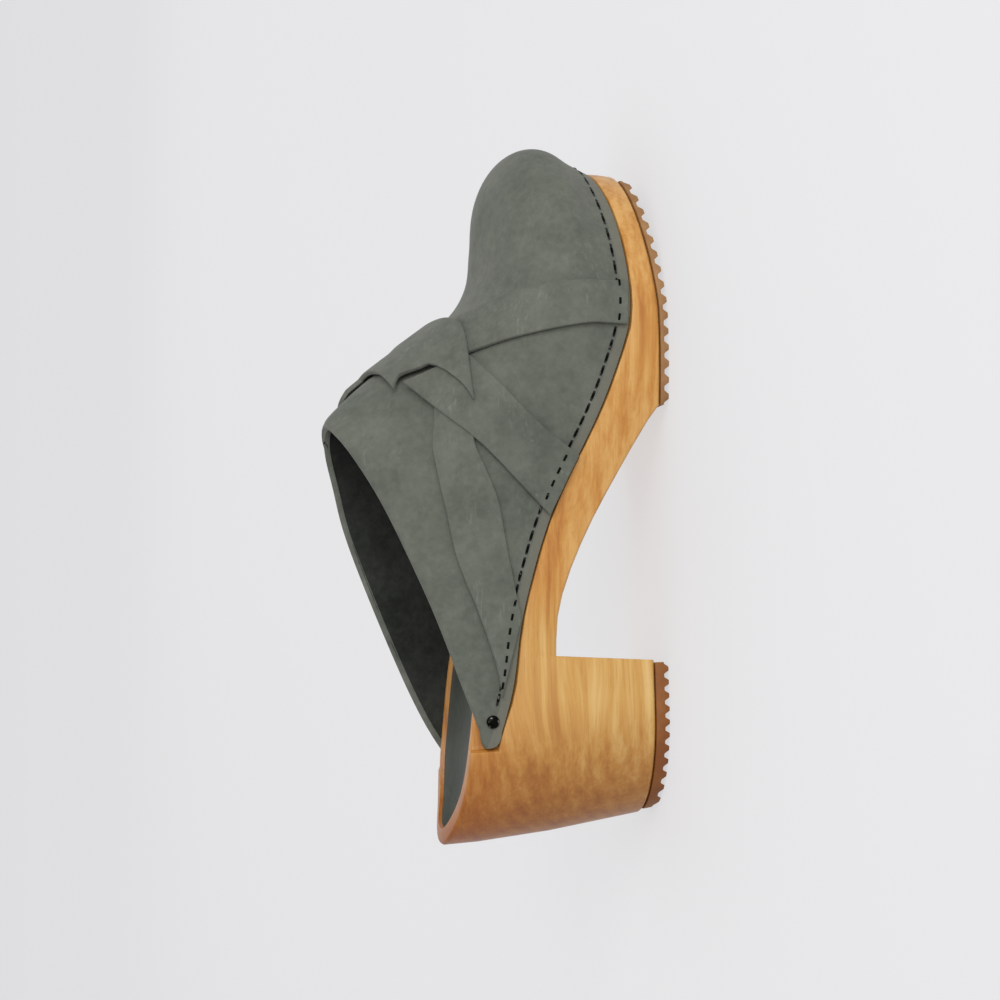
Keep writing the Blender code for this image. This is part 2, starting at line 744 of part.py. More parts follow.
def build_nail(name, turn, up, surface):
    """A domed nail head on the upper's end."""
    place, outward = surface.find_nearest(place_on_upper(turn, up))[:2]
    if outward.y * place.y < 0:
        outward = -outward
    side = outward.cross(Vector((0, 0, 1))).normalized()
    upward = side.cross(outward)
    rings, sectors = 4, 16
    bm = bmesh.new()
    loops = []
    for i in range(rings):
        lift = 1.5 * CLEARANCE + NAIL_HEIGHT * math.sin(math.pi / 2 * i / rings)
        radius = NAIL_RADIUS * math.cos(math.pi / 2 * i / rings)
        loop = []
        for k in range(sectors):
            angle = 2 * math.pi * k / sectors
            loop.append(place + outward * lift + (side * math.cos(angle) + upward * math.sin(angle)) * radius)
        loops.append(loop)
    made = stacked_loops(bm, loops)
    bm.faces.new(made[0])
    peak = bm.verts.new(place + outward * (1.5 * CLEARANCE + NAIL_HEIGHT))
    for k in range(sectors):
        bm.faces.new((made[-1][k], made[-1][(k + 1) % sectors], peak))
    return new_object(name, bm, (0.03, 0.028, 0.026), 0.4, 1.0)


for leftover in list(bpy.data.objects):
    bpy.data.objects.remove(leftover)

build_wood_sole()
build_heel_lift()
build_forefoot_tread()
build_insole()
build_upper()

leather = leather_surface()
build_strap("strap_ball", STRAP_BALL, leather)
build_strap("strap_waist", STRAP_WAIST, leather, length_steps=26)
build_strap("strap_collar", STRAP_COLLAR, leather)
build_strap("strap_inner", STRAP_INNER, leather, length_steps=30)
build_strap("knot_band", KNOT_BAND, leather, length_steps=14)
build_strap("knot_loop", KNOT_LOOP, leather, length_steps=10)
build_nail("nail_outer", -NAIL_TURN, NAIL_UP, leather)
build_nail("nail_inner", NAIL_TURN, NAIL_UP, leather)
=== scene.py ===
import math
from bisect import bisect_right

import bmesh
import bpy
from mathutils import Matrix, Vector
from mathutils.bvhtree import BVHTree
from mathutils.kdtree import KDTree


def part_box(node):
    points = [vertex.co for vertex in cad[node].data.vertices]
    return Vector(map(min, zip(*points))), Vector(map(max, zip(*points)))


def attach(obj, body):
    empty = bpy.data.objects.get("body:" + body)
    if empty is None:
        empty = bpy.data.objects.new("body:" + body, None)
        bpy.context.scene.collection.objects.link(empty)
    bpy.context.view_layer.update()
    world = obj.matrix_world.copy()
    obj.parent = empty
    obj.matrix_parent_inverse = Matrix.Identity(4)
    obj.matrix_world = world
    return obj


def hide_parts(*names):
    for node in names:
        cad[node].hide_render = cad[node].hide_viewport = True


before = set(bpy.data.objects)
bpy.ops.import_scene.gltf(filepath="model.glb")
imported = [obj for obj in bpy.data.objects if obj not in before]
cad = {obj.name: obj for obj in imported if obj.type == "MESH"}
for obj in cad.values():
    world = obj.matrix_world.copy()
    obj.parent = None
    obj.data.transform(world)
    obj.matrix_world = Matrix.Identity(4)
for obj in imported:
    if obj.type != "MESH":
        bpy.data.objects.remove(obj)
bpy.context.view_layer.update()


# Studio: a pale sweep of paper under large soft lights, the strongest from the toe's side, and a camera with
# a long lens that looks at the clog's outer side, rolled so that the toe points up in the picture.
LENS = 108.0
CAMERA_PLACE = Vector((-0.00725, -1.0230, 0.2790))
CAMERA_AZIMUTH = math.radians(-5.0)
CAMERA_RISE = math.radians(9.5)
CAMERA_ROLL = math.radians(-90.5)
CAMERA_PAN = math.radians(2.98)
CAMERA_TILT = math.radians(0.13)

scene = bpy.context.scene
scene.view_settings.view_transform = "Standard"

back = Vector((
    math.sin(CAMERA_AZIMUTH) * math.cos(CAMERA_RISE),
    -math.cos(CAMERA_AZIMUTH) * math.cos(CAMERA_RISE),
    math.sin(CAMERA_RISE),
))
level = Vector((math.cos(CAMERA_AZIMUTH), math.sin(CAMERA_AZIMUTH), 0))
upright = back.cross(level)
across = level * math.cos(CAMERA_ROLL) + upright * math.sin(CAMERA_ROLL)
upwards = upright * math.cos(CAMERA_ROLL) - level * math.sin(CAMERA_ROLL)
turn = Matrix.Rotation(-CAMERA_PAN, 3, upwards) @ Matrix.Rotation(CAMERA_TILT, 3, across)
axes = Matrix((across, upwards, back)).transposed()
camera = bpy.data.objects.new("camera", bpy.data.cameras.new("camera"))
scene.collection.objects.link(camera)
camera.data.lens = LENS
camera.data.clip_start = 0.05
camera.matrix_world = Matrix.Translation(CAMERA_PLACE) @ (turn @ axes).to_4x4()
scene.camera = camera


def aim(light, target):
    light.rotation_euler = (Vector(target) - light.location).to_track_quat("-Z", "Y").to_euler()


AIR_COLOUR = (0.98, 0.98, 1.0, 1)
AIR_STRENGTH = 0.55
LIGHTS = (
    # name, place, target, size, power
    ("key_light", (0.60, -1.30, 0.55), (0.06, 0, 0.05), 0.9, 14.4),
    ("top_light", (0.25, 0.10, 1.60), (0.05, 0, 0.04), 1.6, 5.0),
    ("back_light", (0.60, 1.20, 0.90), (0.05, 0, 0.05), 1.2, 2.2),
)
for name, place, target, size, power in LIGHTS:
    lamp = bpy.data.lights.new(name, "AREA")
    lamp.size = size
    lamp.energy = power
    light = bpy.data.objects.new(name, lamp)
    scene.collection.objects.link(light)
    light.location = place
    aim(light, target)

world = bpy.data.worlds.new("studio_air")
world.use_nodes = True
world.node_tree.nodes["Background"].inputs["Color"].default_value = AIR_COLOUR
world.node_tree.nodes["Background"].inputs["Strength"].default_value = AIR_STRENGTH
scene.world = world

SWEEP_REACH = 6.0
SWEEP_CURVE = 2.5
PAPER_COLOUR = (0.20, 0.20, 0.202, 1)
PAPER_GLOW = (0.99, 0.985, 1.0, 1)
PAPER_GLOW_STRENGTH = 0.61
bpy.ops.object.select_all(action="DESELECT")
bpy.ops.mesh.primitive_plane_add(size=2 * SWEEP_REACH, location=(0, 0, 0))
floor = bpy.context.object
floor.name = "floor"
bpy.ops.object.mode_set(mode="EDIT")
bpy.ops.mesh.select_mode(type="EDGE")
bpy.ops.mesh.select_all(action="DESELECT")
sweep = bmesh.from_edit_mesh(floor.data)
for edge in sweep.edges:
    edge.select_set(all(v.co.y > 0 for v in edge.verts))
bmesh.update_edit_mesh(floor.data)
bpy.ops.mesh.extrude_region_move(TRANSFORM_OT_translate={"value": (0, 0, SWEEP_REACH)})
bpy.ops.mesh.select_all(action="DESELECT")
sweep = bmesh.from_edit_mesh(floor.data)
for edge in sweep.edges:
    edge.select_set(all(v.co.y > 0 and v.co.z < 0.1 for v in edge.verts))
bmesh.update_edit_mesh(floor.data)
bpy.ops.mesh.bevel(offset=SWEEP_CURVE, segments=24)
bpy.ops.object.mode_set(mode="OBJECT")
bpy.ops.object.shade_smooth()
paper = bpy.data.materials.new("pale_paper")
paper.use_nodes = True
paper_shader = paper.node_tree.nodes["Principled BSDF"]
paper_shader.inputs["Base Color"].default_value = PAPER_COLOUR
paper_shader.inputs["Roughness"].default_value = 0.9
paper_shader.inputs["Specular IOR Level"].default_value = 0.1
paper_shader.inputs["Emission Color"].default_value = PAPER_GLOW
paper_shader.inputs["Emission Strength"].default_value = PAPER_GLOW_STRENGTH
floor.data.materials.append(paper)


# Wooden sole: one block of pale hardwood, carved to sole and block heel in one and lacquered. The grain runs
# lengthwise and the growth lines bend down at the back of the heel. The back of the heel is made darker and
# browner with painted shade, and the upper front of the heel's flank paler with a painted highlight.
WOOD_LIGHT = (0.59, 0.325, 0.097, 1)
WOOD_MIDDLE = (0.49, 0.222, 0.045, 1)
WOOD_DEEP = (0.38, 0.140, 0.024, 1)
# Painted light on the heel: its upper front flank is tinted paler and yellower, where light falls on it.
HEEL_FLANK_PAINTED_LIGHT = (1.08, 1.29, 1.60, 1)
# Painted shade on the heel: its back is tinted darker and browner, where it turns away from the light.
HEEL_BACK_PAINTED_SHADE = (0.54, 0.29, 0.02, 1)
WOOD_ROUNDING = 0.0007
GRAIN_BENDS_BEHIND = 0.030
GRAIN_BEND = 2.0
GRAIN_DRIFT = 0.022
GROWTH_LINES = 380.0
PAINTED_LIGHT_HEIGHTS = (0.066, 0.046)
PAINTED_LIGHT_PLACES = (0.050, 0.034)
HEEL_BACK_SHADE_PLACES = (0.014, -0.034)


def activate(piece):
    bpy.ops.object.select_all(action="DESELECT")
    piece.select_set(True)
    bpy.context.view_layer.objects.active = piece


def refined_copy(node_name, name, quad_angle=40.0):
    """A merged copy of a CAD node as a piece of its own, with its triangles joined to quads."""
    piece = bpy.data.objects.new(name, cad[node_name].data.copy())
    scene.collection.objects.link(piece)
    piece.data.materials.clear()
    activate(piece)
    bpy.ops.object.mode_set(mode="EDIT")
    bpy.ops.mesh.select_all(action="SELECT")
    bpy.ops.mesh.remove_doubles(threshold=2e-5)
    bpy.ops.mesh.tris_convert_to_quads(
        face_threshold=math.radians(quad_angle), shape_threshold=math.radians(70)
    )
    bpy.ops.object.mode_set(mode="OBJECT")
    bpy.ops.mesh.customdata_custom_splitnormals_clear()
    for edge in piece.data.edges:
        edge.use_edge_sharp = False
    return piece


def modify(piece, kind, **settings):
    """Adds a modifier and applies it."""
    activate(piece)
    modifier = piece.modifiers.new(kind.title(), kind)
    for key, value in settings.items():
        setattr(modifier, key, value)
    bpy.ops.object.modifier_apply(modifier=modifier.name)


def smooth(piece, angle=40.0):
    activate(piece)
    bpy.ops.object.shade_smooth_by_angle(angle=math.radians(angle))


def node(tree, kind, inputs=None, **settings):
    """A shader node with its settings and its inputs, which are values or the sockets that feed them."""
    made = tree.nodes.new("ShaderNode" + kind)
    for key, value in settings.items():
        setattr(made, key, value)
    for key, value in (inputs or {}).items():
        if isinstance(value, bpy.types.NodeSocket):
            tree.links.new(value, made.inputs[key])
        else:
            made.inputs[key].default_value = value
    return made


def math_of(tree, operation, *values):
    return node(tree, "Math", dict(enumerate(values)), operation=operation).outputs[0]


def sum_of(tree, *parts):
    """The sum of values, each times its weight."""
    total = math_of(tree, "MULTIPLY", *parts[0])
    for value, weight in parts[1:]:
        total = math_of(tree, "ADD", total, math_of(tree, "MULTIPLY", value, weight))
    return total


def ramp_of(tree, factor, *stops):
    """A colour ramp whose stops are (place, colour)."""
    made = node(tree, "ValToRGB", {"Fac": factor})
    elements = made.color_ramp.elements
    while len(elements) < len(stops):
        elements.new(0.5)
    for element, (place, colour) in zip(elements, stops):
        element.position = place
        element.color = colour
    return made.outputs["Color"]


def mix_of(tree, factor, first, second, blend="MIX"):
    made = node(tree, "Mix", data_type="RGBA", blend_type=blend)
    for key, value in (("Factor_Float", factor), ("A_Color", first), ("B_Color", second)):
        socket = next(s for s in made.inputs if s.identifier == key)
        if isinstance(value, bpy.types.NodeSocket):
            tree.links.new(value, socket)
        else:
            socket.default_value = value
    return next(s for s in made.outputs if s.identifier == "Result_Color")


def new_material(name, roughness):
    material = bpy.data.materials.new(name)
    material.use_nodes = True
    shader = material.node_tree.nodes["Principled BSDF"]
    shader.inputs["Roughness"].default_value = roughness
    return material, material.node_tree, shader


def scaled_coordinates(tree, scale):
    """Object coordinates in metres, times the scale."""
    source = node(tree, "TexCoord").outputs["Object"]
    return node(tree, "Mapping", {"Vector": source, "Scale": scale}).outputs["Vector"]


def noise_of(tree, vector, scale, detail=3.0, roughness=0.5, distortion=0.0):
    values = {"Vector": vector, "Scale": scale, "Detail": detail}
    values.update({"Roughness": roughness, "Distortion": distortion})
    return node(tree, "TexNoise", values).outputs["Fac"]


def lacquered_wood():
    material, tree, shader = new_material("lacquered_wood", 0.42)
    place = node(tree, "TexCoord").outputs["Object"]
    parts = node(tree, "SeparateXYZ", {0: place})
    behind = math_of(tree, "SUBTRACT", GRAIN_BENDS_BEHIND, parts.outputs["X"])
    behind = math_of(tree, "MAXIMUM", behind, 0.0)
    bend = math_of(tree, "MULTIPLY", math_of(tree, "POWER", behind, 2.0), GRAIN_BEND)
    drift = noise_of(tree, scaled_coordinates(tree, (9, 22, 22)), 1.0, 2.0)
    flow = math_of(tree, "ADD", parts.outputs["Z"], bend)
    flow = math_of(tree, "ADD", flow, math_of(tree, "MULTIPLY", drift, GRAIN_DRIFT))
    bent = {"X": parts.outputs["X"], "Y": parts.outputs["Y"], "Z": flow}
    grain = node(tree, "CombineXYZ", bent).outputs["Vector"]

    def lengthwise(scale, detail, rough):
        stretched = node(tree, "Mapping", {"Vector": grain, "Scale": scale}).outputs["Vector"]
        return noise_of(tree, stretched, 1.0, detail, rough)

    line = math_of(tree, "ADD", flow, math_of(tree, "MULTIPLY", parts.outputs["Y"], 0.35))
    line = math_of(tree, "PINGPONG", math_of(tree, "MULTIPLY", line, GROWTH_LINES), 1.0)
    streak = lengthwise((9, 250, 250), 3.0, 0.5)
    fibre = lengthwise((26, 900, 900), 4.0, 0.6)
    pore = lengthwise((110, 2600, 2600), 2.0, 0.5)
    cloud = noise_of(tree, scaled_coordinates(tree, (14, 30, 30)), 1.0, 2.0)
    tone = sum_of(tree, (line, 0.07), (fibre, 0.30), (streak, 0.38), (cloud, 0.34))
    colour = ramp_of(tree, tone, (0.40, WOOD_DEEP), (0.53, WOOD_MIDDLE), (0.66, WOOD_LIGHT))
    fleck = ramp_of(tree, pore, (0.30, (0.62, 0.46, 0.32, 1)), (0.42, (1, 1, 1, 1)))
    colour = mix_of(tree, 0.25, colour, fleck, "MULTIPLY")

    def fade(coordinate, start, end):
        """0 at the start of a stretch and 1 at its end."""
        past = math_of(tree, "SUBTRACT", parts.outputs[coordinate], start)
        share = math_of(tree, "DIVIDE", past, end - start)
        return math_of(tree, "MINIMUM", math_of(tree, "MAXIMUM", share, 0.0), 1.0)

    # Painted highlight: the upper front of the heel's flank is made paler and yellower.
    lit_flank_mask = math_of(tree, "MULTIPLY", fade("Z", *PAINTED_LIGHT_HEIGHTS), fade("X", *PAINTED_LIGHT_PLACES))
    colour = mix_of(tree, lit_flank_mask, colour, HEEL_FLANK_PAINTED_LIGHT, "MULTIPLY")
    # Painted shade: the back of the heel is made darker and browner.
    colour = mix_of(tree, fade("X", *HEEL_BACK_SHADE_PLACES), colour, HEEL_BACK_PAINTED_SHADE, "MULTIPLY")
    tree.links.new(colour, shader.inputs["Base Color"])
    bump = node(tree, "Bump", {"Strength": 0.2, "Distance": 0.0002, "Height": fibre})
    tree.links.new(bump.outputs["Normal"], shader.inputs["Normal"])
    shader.inputs["Specular IOR Level"].default_value = 0.35
    shader.inputs["Coat Weight"].default_value = 0.12
    shader.inputs["Coat Roughness"].default_value = 0.25
    return material


sole = refined_copy("wood_sole", "sole_block")
modify(sole, "BEVEL", width=WOOD_ROUNDING, segments=3, limit_method="ANGLE", angle_limit=math.radians(38))
smooth(sole, 50)
sole.data.materials.append(lacquered_wood())
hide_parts("wood_sole")
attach(sole, "root")


# Heel lift and forefoot tread: two sheets of moulded rubber, glued under the heel and the forefoot. Rounded
# ribs run across them, finer under the heel, and both are dusty between the ribs.
RUBBERS = (
    # node, name, slot, colour, dust
    ("heel_lift", "lift_ribbed", "lift_rubber", (0.180, 0.050, 0.003, 1), (0.25, 0.085, 0.010, 1)),
    ("forefoot_tread", "tread_ribbed", "tread_rubber", (0.24, 0.11, 0.032, 1), (0.36, 0.19, 0.070, 1)),
)
RIB_ROUNDING = 0.00025


def moulded_rubber(name, colour, dust):
    material, tree, shader = new_material(name, 0.62)
    cloud = noise_of(tree, scaled_coordinates(tree, (90, 90, 90)), 1.0, 4.0, 0.6)
    grit = noise_of(tree, scaled_coordinates(tree, (1500, 1500, 1500)), 1.0, 3.0, 0.7)
    amount = ramp_of(tree, cloud, (0.42, (0, 0, 0, 1)), (0.75, (1, 1, 1, 1)))
    tree.links.new(mix_of(tree, amount, colour, dust), shader.inputs["Base Color"])
    bump = node(tree, "Bump", {"Strength": 0.5, "Distance": 0.0001, "Height": grit})
    tree.links.new(bump.outputs["Normal"], shader.inputs["Normal"])
    return material


for node_name, name, slot_name, colour, dust in RUBBERS:
    sheet = refined_copy(node_name, name)
    modify(sheet, "BEVEL", width=RIB_ROUNDING, segments=2, limit_method="ANGLE", angle_limit=math.radians(30))
    smooth(sheet, 40)
    sheet.data.materials.append(moulded_rubber(name, colour, dust))
    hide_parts(node_name)
    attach(sheet, "root")


# Insole: a cover of thin dark leather, glued into the wood's sunk footbed. Its surface is worn smooth where
# the foot stands.
INSOLE_COLOUR = (0.015, 0.020, 0.013, 1)
INSOLE_WORN = (0.028, 0.034, 0.023, 1)
SCUFF_PALE = (0.30, 0.31, 0.27, 1)
PEBBLES_PER_METRE = 1100.0
SCRATCH_SCALE = (90, 1500, 800)
SCRATCH_TURN = (0.3, 0.5, 0.7)


def past_level(tree, value, level):
    """How far a value is above a level, or 0 below it."""
    return math_of(tree, "MAXIMUM", math_of(tree, "SUBTRACT", value, level), 0.0)


def leather_grain():
    """Node group: the fine pebble of leather as a height, and two masks for its mottling and its scuffs."""
    group = bpy.data.node_groups.new("leather_grain", "ShaderNodeTree")
    face = group.interface
    face.new_socket("Vector", in_out="INPUT", socket_type="NodeSocketVector")
    pebbles = face.new_socket("Pebble", in_out="INPUT", socket_type="NodeSocketFloat")
    pebbles.default_value = PEBBLES_PER_METRE
    for name in ("Height", "Mottle", "Scuff"):
        face.new_socket(name, in_out="OUTPUT", socket_type="NodeSocketFloat")
    inside = group.nodes.new("NodeGroupInput")
    out = group.nodes.new("NodeGroupOutput")
    vector = inside.outputs["Vector"]
    cells = {"Vector": vector, "Scale": inside.outputs["Pebble"]}
    pebble = node(group, "TexVoronoi", cells, feature="SMOOTH_F1")
    fine = noise_of(group, vector, 2600.0, 3.0, 0.6)
    wide = noise_of(group, vector, 55.0, 4.0, 0.6)
    small = noise_of(group, vector, 330.0, 4.0, 0.65)
    height = sum_of(group, (pebble.outputs["Distance"], 0.6), (fine, 0.5))
    mottle = sum_of(group, (wide, 0.55), (small, 0.45))
    scratched = {"Vector": vector, "Scale": SCRATCH_SCALE, "Rotation": SCRATCH_TURN}
    scratch = node(group, "Mapping", scratched)
    streak = noise_of(group, scratch.outputs["Vector"], 1.0, 2.0, 0.5, 0.4)
    patch = noise_of(group, vector, 85.0, 3.0, 0.55)
    scuff = math_of(group, "MULTIPLY", past_level(group, streak, 0.58), past_level(group, patch, 0.50))
    scuff = math_of(group, "MINIMUM", math_of(group, "MULTIPLY", scuff, 90.0), 1.0)
    for name, value in (("Height", height), ("Mottle", mottle), ("Scuff", scuff)):
        group.links.new(value, out.inputs[name])
    return group


grain_group = leather_grain()


def leather(name, dark, pale, roughness, scuffed, relief=0.00012, dents=None):
    """Leather whose colour wanders between two tones, with pale scuffs and a fine pebble."""
    material, tree, shader = new_material(name, roughness)
    grain = node(tree, "Group", node_tree=grain_group)
    tree.links.new(node(tree, "TexCoord").outputs["Object"], grain.inputs["Vector"])
    colour = ramp_of(tree, grain.outputs["Mottle"], (0.36, dark), (0.62, pale))
    scuffs = math_of(tree, "MULTIPLY", grain.outputs["Scuff"], scuffed)
    colour = mix_of(tree, scuffs, colour, SCUFF_PALE)
    height = grain.outputs["Height"]
    bump = node(tree, "Bump", {"Strength": 0.6, "Distance": relief, "Height": height})
    if dents:
        dent_shade_mask, depth, margin = dents(tree)
        colour = mix_of(tree, margin, colour, MARGIN_TINT)
        # The staple grooves and holes are darkened with painted shade.
        colour = mix_of(tree, dent_shade_mask, colour, DENT_PAINTED_SHADE)
        sunk = node(tree, "Bump", {"Strength": 1.0, "Distance": DENT_DEPTH, "Height": depth}, invert=True)
        tree.links.new(sunk.outputs["Normal"], bump.inputs["Normal"])
    tree.links.new(colour, shader.inputs["Base Color"])
    tree.links.new(bump.outputs["Normal"], shader.inputs["Normal"])
    shader.inputs["Specular IOR Level"].default_value = 0.3
    shader.inputs["Sheen Weight"].default_value = 0.08
    shader.inputs["Sheen Roughness"].default_value = 0.5
    return material


insole = refined_copy("insole", "footbed_cover")
modify(insole, "BEVEL", width=0.0004, segments=2, limit_method="ANGLE", angle_limit=math.radians(45))
smooth(insole, 60)
insole.data.materials.append(leather("footbed_leather", INSOLE_COLOUR, INSOLE_WORN, 0.75, 0.15))
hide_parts("insole")
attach(insole, "root")


# Upper: one piece of 2 mm nubuck, wet-formed over a last, closed at the toe and open at the back, flesh
# side inwards. Its edges are cut raw, its back ends are cut round, and its lower edge lies in the rabbet of
# the wood, where the staples hold it.
LEATHER_DARK = (0.079, 0.087, 0.069, 1)
LEATHER_PALE = (0.124, 0.132, 0.106, 1)
MARGIN_TINT = (0.150, 0.143, 0.112, 1)
MARGIN_WIDTH = 0.0034
MARGIN_FADE = 0.0008
# Painted shade for the staple grooves and holes: near black.
DENT_PAINTED_SHADE = (0.008, 0.008, 0.008, 1)
DENT_DEPTH = 0.0008
GROOVE_HALF_WIDTH = 0.00052
HOLE_RADIUS = 0.00055
UNDERSIDE_PLACE = 0.155
OUTER_PLACE = (0.12, 0.04)
CROWN_FROM = 0.14
CROWN_REACH = 0.005
EDGE_DARK = (0.090, 0.096, 0.082, 1)
EDGE_PALE = (0.170, 0.178, 0.150, 1)
# The flesh side: its own dark grey-green, darkened further with painted shade for the inside of the clog.
FLESH_AND_SHADE_DARK = (0.012, 0.014, 0.012, 1)
FLESH_AND_SHADE_PALE = (0.034, 0.037, 0.031, 1)
LEATHER_WALL = 0.0020
END_ROUNDING = 0.0055
END_POWER = 2.3
STAPLE_PITCH = 0.0047
TOE_STAPLE_PITCH = 0.0068
TOE_STAPLES_FROM = 0.150
STAPLE_RISE = 0.0042
STAPLE_START = 0.0145
STAPLE_LENGTH = 0.0030


def staple_dents(tree):
    """A sunk groove and two holes with painted shade for each staple, on the map that counts staples along
    the lower edge.
    """
    run = node(tree, "SeparateXYZ", {0: node(tree, "UVMap", uv_map="edge_run").outputs[0]})
    steps = run.outputs["X"]
    near = math_of(tree, "SUBTRACT", steps, math_of(tree, "ROUND", steps))
    near = math_of(tree, "ABSOLUTE", math_of(tree, "MULTIPLY", near, STAPLE_PITCH))
    off = math_of(tree, "SUBTRACT", run.outputs["Y"], STAPLE_RISE)
    long_share = math_of(tree, "POWER", math_of(tree, "DIVIDE", near, 0.58 * STAPLE_LENGTH), 4.0)
    wide_share = math_of(tree, "POWER", math_of(tree, "DIVIDE", off, GROOVE_HALF_WIDTH), 2.0)
    groove = math_of(tree, "SUBTRACT", 1.0, math_of(tree, "ADD", long_share, wide_share))
    groove = math_of(tree, "MAXIMUM", groove, 0.0)
    along = math_of(tree, "SUBTRACT", near, 0.48 * STAPLE_LENGTH)
    reach = math_of(tree, "ADD", math_of(tree, "POWER", along, 2.0), math_of(tree, "POWER", off, 2.0))
    reach = math_of(tree, "SQRT", reach)
    hole = math_of(tree, "SUBTRACT", 1.0, math_of(tree, "DIVIDE", reach, HOLE_RADIUS))
    hole = math_of(tree, "MAXIMUM", hole, 0.0)
    # dark: where the painted shade lies, in the groove and the two holes.
    dark = math_of(tree, "MINIMUM", math_of(tree, "ADD", groove, math_of(tree, "MULTIPLY", hole, 3.0)), 1.0)
    margin = math_of(tree, "SUBTRACT", MARGIN_WIDTH, run.outputs["Y"])
    margin = math_of(tree, "DIVIDE", margin, MARGIN_FADE)
    margin = math_of(tree, "MINIMUM", math_of(tree, "MAXIMUM", margin, 0.0), 0.6)
    return dark, math_of(tree, "MINIMUM", math_of(tree, "ADD", groove, hole), 1.0), margin


def face_near(piece, place, facing):
    """Selects the face nearest to a place whose normal is turned the given way."""
    mesh = bmesh.from_edit_mesh(piece.data)
    facing = Vector(facing).normalized()
    found = [f for f in mesh.faces if f.normal.dot(facing) > 0.7]
    best = min(found, key=lambda f: (f.calc_center_median() - Vector(place)).length)
    best.select = True
    mesh.faces.active = best
    bmesh.update_edit_mesh(piece.data)


upper = refined_copy("upper", "upper_shell", 60)
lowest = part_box("upper")[0]
bpy.ops.object.mode_set(mode="EDIT")
bpy.ops.mesh.select_mode(type="FACE")
bpy.ops.mesh.select_all(action="DESELECT")
face_near(upper, (UNDERSIDE_PLACE, lowest.y, lowest.z), (0, 0, -1))
bpy.ops.mesh.faces_select_linked_flat(sharpness=math.radians(40))
bpy.ops.object.mode_set(mode="OBJECT")
lower_verts = sorted({v for f in upper.data.polygons if f.select for v in f.vertices})
upper.vertex_groups.new(name="lower_edge").add(lower_verts, 1.0, "REPLACE")
bpy.ops.object.mode_set(mode="EDIT")
bpy.ops.mesh.delete(type="FACE")
face_near(upper, (OUTER_PLACE[0], lowest.y, OUTER_PLACE[1]), (0, -1, 0))
bpy.ops.mesh.faces_select_linked_flat(sharpness=math.radians(62))
bpy.ops.mesh.select_all(action="INVERT")
bpy.ops.mesh.delete(type="FACE")
bpy.ops.mesh.select_all(action="SELECT")
bpy.ops.mesh.remove_doubles(threshold=0.0008)
bpy.ops.object.mode_set(mode="OBJECT")
modify(upper, "SUBSURF", levels=2, render_levels=2)

# The leather is rubbed even where its lines of faces meet, on the crown of the toe.
bpy.ops.object.mode_set(mode="EDIT")
bpy.ops.mesh.select_mode(type="VERT")
bpy.ops.mesh.select_all(action="DESELECT")
shell = bmesh.from_edit_mesh(upper.data)
inner_verts = [v for v in shell.verts if not v.is_boundary and v.co.x > CROWN_FROM]
meeting = max(inner_verts, key=lambda v: len(v.link_edges)).co.copy()
for vertex in inner_verts:
    vertex.select_set((vertex.co - meeting).length < CROWN_REACH)
bmesh.update_edit_mesh(upper.data)
bpy.ops.mesh.vertices_smooth(factor=0.5, repeat=6)
bpy.ops.object.mode_set(mode="OBJECT")


def round_back_end(piece, side):
    """Gives the leather's back end on one side of the clog (-1 outer, 1 inner) a round outline."""
    mesh = bmesh.new()
    mesh.from_mesh(piece.data)
    flank = [v for v in mesh.verts if v.co.y * side > 0]
    end = min(v.co.x for v in flank)
    near = [v for v in flank if v.co.x < end + 2 * END_ROUNDING]
    rim = sorted((v.co.copy() for v in near if v.is_boundary), key=lambda c: c.x)
    start = [c.z for c in rim if c.x < end + 0.0002]
    stop = [c.z for c in rim if c.x > end + 1.6 * END_ROUNDING]
    first, last = (min(start) + max(start)) / 2, (min(stop) + max(stop)) / 2

    def middle(x):
        return first + (last - first) * (x - end) / (2 * END_ROUNDING)

    above = [c for c in rim if c.z >= middle(c.x)]
    below = [c for c in rim if c.z < middle(c.x)]

    def height(line, x):
        k = min(max(bisect_right([c.x for c in line], x), 1), len(line) - 1)
        a, b = line[k - 1], line[k]
        return a.z + (b.z - a.z) * min(max((x - a.x) / max(b.x - a.x, 1e-6), 0), 1)

    full = (height(above, end + END_ROUNDING) - height(below, end + END_ROUNDING)) / 2
    for vertex in near:
        share = (vertex.co.x - end) / END_ROUNDING
        if share < 1:
            top, low = height(above, vertex.co.x), height(below, vertex.co.x)
            place = (vertex.co.z - low) / (top - low) * 2 - 1
            half = full * max(1 - (1 - share) ** END_POWER, 0.02) ** (1 / END_POWER)
            vertex.co.z = (top + low) / 2 + place * half
    mesh.to_mesh(piece.data)
    mesh.free()


for side in (-1, 1):
    round_back_end(upper, side)


def lower_run(piece):
    """The shell's lower edge as an ordered line from the outer heel end around the toe, and its lengths."""
    group = piece.vertex_groups["lower_edge"].index
    weights = [max([g.weight for g in v.groups if g.group == group] or [0]) for v in piece.data.vertices]
    used = {}
    for polygon in piece.data.polygons:
        for key in polygon.edge_keys:
            used[key] = used.get(key, 0) + 1
    beside = {}
    for (a, b), count in used.items():
        if count == 1 and weights[a] > 0.9 and weights[b] > 0.9:
            beside.setdefault(a, []).append(b)
            beside.setdefault(b, []).append(a)
    ends = [v for v, others in beside.items() if len(others) == 1]
    start = min(ends, key=lambda v: piece.data.vertices[v].co.y)
    line, last = [start], None
    while True:
        ahead = [v for v in beside[line[-1]] if v != last]
        if not ahead:
            break
        last = line[-1]
        line.append(ahead[0])
    points = [piece.data.vertices[v].co.copy() for v in line]
    lengths = [0.0]
    for a, b in zip(points, points[1:]):
        lengths.append(lengths[-1] + (b - a).length)
    return points, lengths


